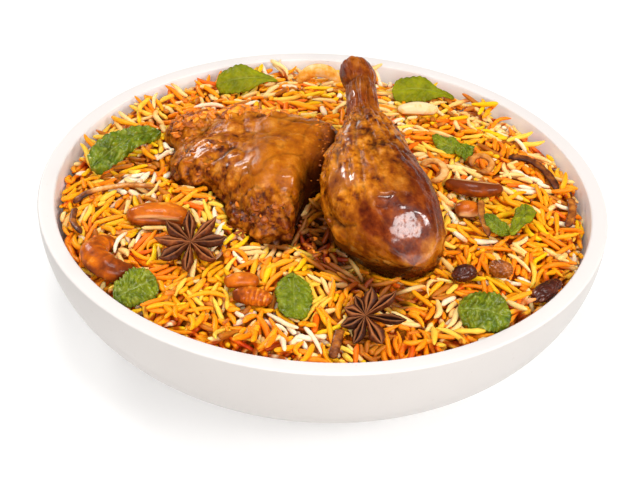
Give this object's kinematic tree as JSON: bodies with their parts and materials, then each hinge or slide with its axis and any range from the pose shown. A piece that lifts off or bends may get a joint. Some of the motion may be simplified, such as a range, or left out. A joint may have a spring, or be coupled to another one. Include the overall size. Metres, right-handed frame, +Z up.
{
  "type": "bowl of biryani",
  "caption": "Round ceramic bowl heaped with spiced rice, a roast chicken drumstick and thigh, star anise, cashews, mint leaves, fried onion and raisins",
  "frame": {"origin": "centre of the bowl's foot, on the surface it stands on", "axes": "+Z up out of the bowl, -Y towards the side seen from the front, +X to the right"},
  "size_m": [0.23, 0.23, 0.0886],
  "materials": {
    "bowl_glaze": "warm white, satin",
    "rice": "cooked long-grain rice, moist",
    "chicken": "roast skin, oily",
    "star_anise": "dry, matt",
    "cashew": "fried, oily",
    "mint": "fresh leaf, satin",
    "fried_onion": "fried, oily",
    "raisin": "wrinkled, oily"
  },
  "bodies": {
    "root": {"bowl": "bowl_glaze", "rice_heap": "rice", "chicken_drumstick": "chicken", "chicken_thigh": "chicken", "star_anise_1": "star_anise", "star_anise_2": "star_anise", "cashew_1": "cashew", "cashew_2": "cashew", "cashew_3": "cashew", "cashew_4": "cashew", "cashew_5": "cashew", "cashew_6": "cashew", "cashew_7": "cashew", "cashew_8": "cashew", "mint_leaf_01": "mint", "mint_leaf_02": "mint", "mint_leaf_03": "mint", "mint_leaf_04": "mint", "mint_leaf_05": "mint", "mint_leaf_06": "mint", "mint_leaf_07": "mint", "mint_leaf_08": "mint", "mint_leaf_09": "mint", "mint_leaf_10": "mint", "onion_strand_1": "fried_onion", "onion_strand_2": "fried_onion", "onion_strand_3": "fried_onion", "onion_strand_4": "fried_onion", "onion_strand_5": "fried_onion", "onion_strand_6": "fried_onion", "onion_curl_1": "fried_onion", "onion_curl_2": "fried_onion", "raisin_1": "raisin", "raisin_2": "raisin", "raisin_3": "raisin"}
  },
  "joints": []
}
